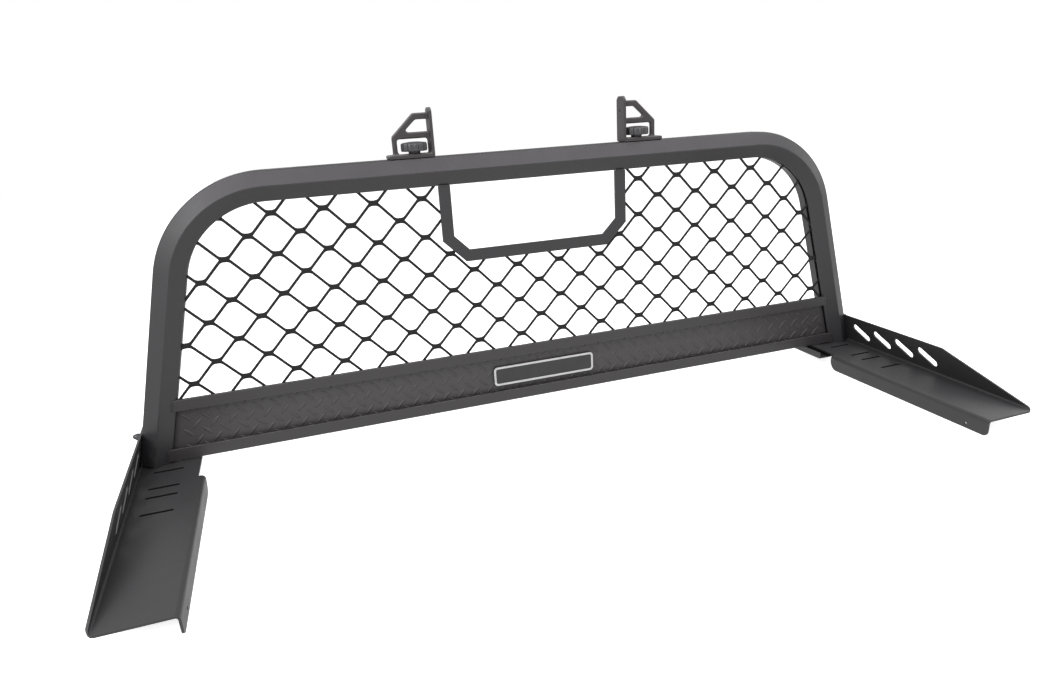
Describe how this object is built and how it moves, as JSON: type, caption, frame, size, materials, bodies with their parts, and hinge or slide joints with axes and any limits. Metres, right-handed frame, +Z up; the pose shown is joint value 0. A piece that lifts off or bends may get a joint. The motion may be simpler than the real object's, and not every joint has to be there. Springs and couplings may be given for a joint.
{
  "type": "headache rack",
  "caption": "Pickup headache rack: bent hexagonal-tube hoop with expanded-metal guard, brake-light window, lower tread-plate panel, bed-rail brackets and sliding load stops.",
  "frame": {"origin": "on the vehicle's centre plane, in the plane of the mesh, level with the tops of the bed rails, which is the underside of the bracket plates", "axes": "X across the vehicle, right-hand side positive as seen from behind; +Y forward to the cab; +Z up"},
  "size_m": [1.802, 0.604, 0.709],
  "materials": {
    "powder_coat": "fine textured satin black powder coat",
    "badge_finish": "satin black with a thin bright border",
    "cast_black": "textured black coat over a casting",
    "knob_plastic": "satin moulded black",
    "washer_nylon": "matt black",
    "zinc_steel": "zinc plated",
    "black_fastener": "black zinc plated"
  },
  "bodies": {
    "frame": {"hoop_tube": "powder_coat", "mesh_panel": "powder_coat", "window_frame": "powder_coat", "upper_rail": "powder_coat", "tread_plate": "powder_coat", "lower_rail": "powder_coat", "badge_plate": "badge_finish", "foot_plug_right": "powder_coat", "foot_plug_left": "powder_coat", "rail_bracket_right": "powder_coat", "rail_bracket_left": "powder_coat", "foot_screw_right": "zinc_steel", "foot_screw_left": "zinc_steel", "flange_bolt_right": "black_fastener", "flange_bolt_left": "black_fastener", "flange_nut_right": "black_fastener", "flange_nut_left": "black_fastener", "rail_channel_right": "powder_coat"},
    "stop_right": {"load_stop_right": "cast_black", "t_nut_right": "zinc_steel"},
    "stop_left": {"load_stop_left": "cast_black", "t_nut_left": "zinc_steel"},
    "washer_right": {"knob_washer_right": "washer_nylon"},
    "washer_left": {"knob_washer_left": "washer_nylon"},
    "knob_right": {"stop_knob_right": "knob_plastic", "knob_stud_right": "zinc_steel"},
    "knob_left": {"stop_knob_left": "knob_plastic", "knob_stud_left": "zinc_steel"}
  },
  "joints": [
    {"name": "stop_slide_right", "type": "slide", "parent": "frame", "child": "stop_right", "axis": [1, 0, 0], "range_m": [-0.21, 0.24]},
    {"name": "stop_slide_left", "type": "slide", "parent": "frame", "child": "stop_left", "axis": [-1, 0, 0], "range_m": [-0.21, 0.24]},
    {"name": "knob_lift_right", "type": "slide", "parent": "stop_right", "child": "washer_right", "axis": [0, 0, 1], "range_m": [0, 0.0025]},
    {"name": "knob_lift_left", "type": "slide", "parent": "stop_left", "child": "washer_left", "axis": [0, 0, 1], "range_m": [0, 0.0025]},
    {"name": "knob_turn_right", "type": "hinge", "parent": "washer_right", "child": "knob_right", "pos_m": [0.257, 0.012, 0.6], "axis": [0, 0, 1], "range_deg": [0, 720]},
    {"name": "knob_turn_left", "type": "hinge", "parent": "washer_left", "child": "knob_left", "pos_m": [-0.257, 0.012, 0.6], "axis": [0, 0, 1], "range_deg": [0, 720]}
  ],
  "couplings": [
    {"joint": "knob_turn_right", "follows": "knob_lift_right", "rad_per_m": 5026},
    {"joint": "knob_turn_left", "follows": "knob_lift_left", "rad_per_m": 5026}
  ]
}
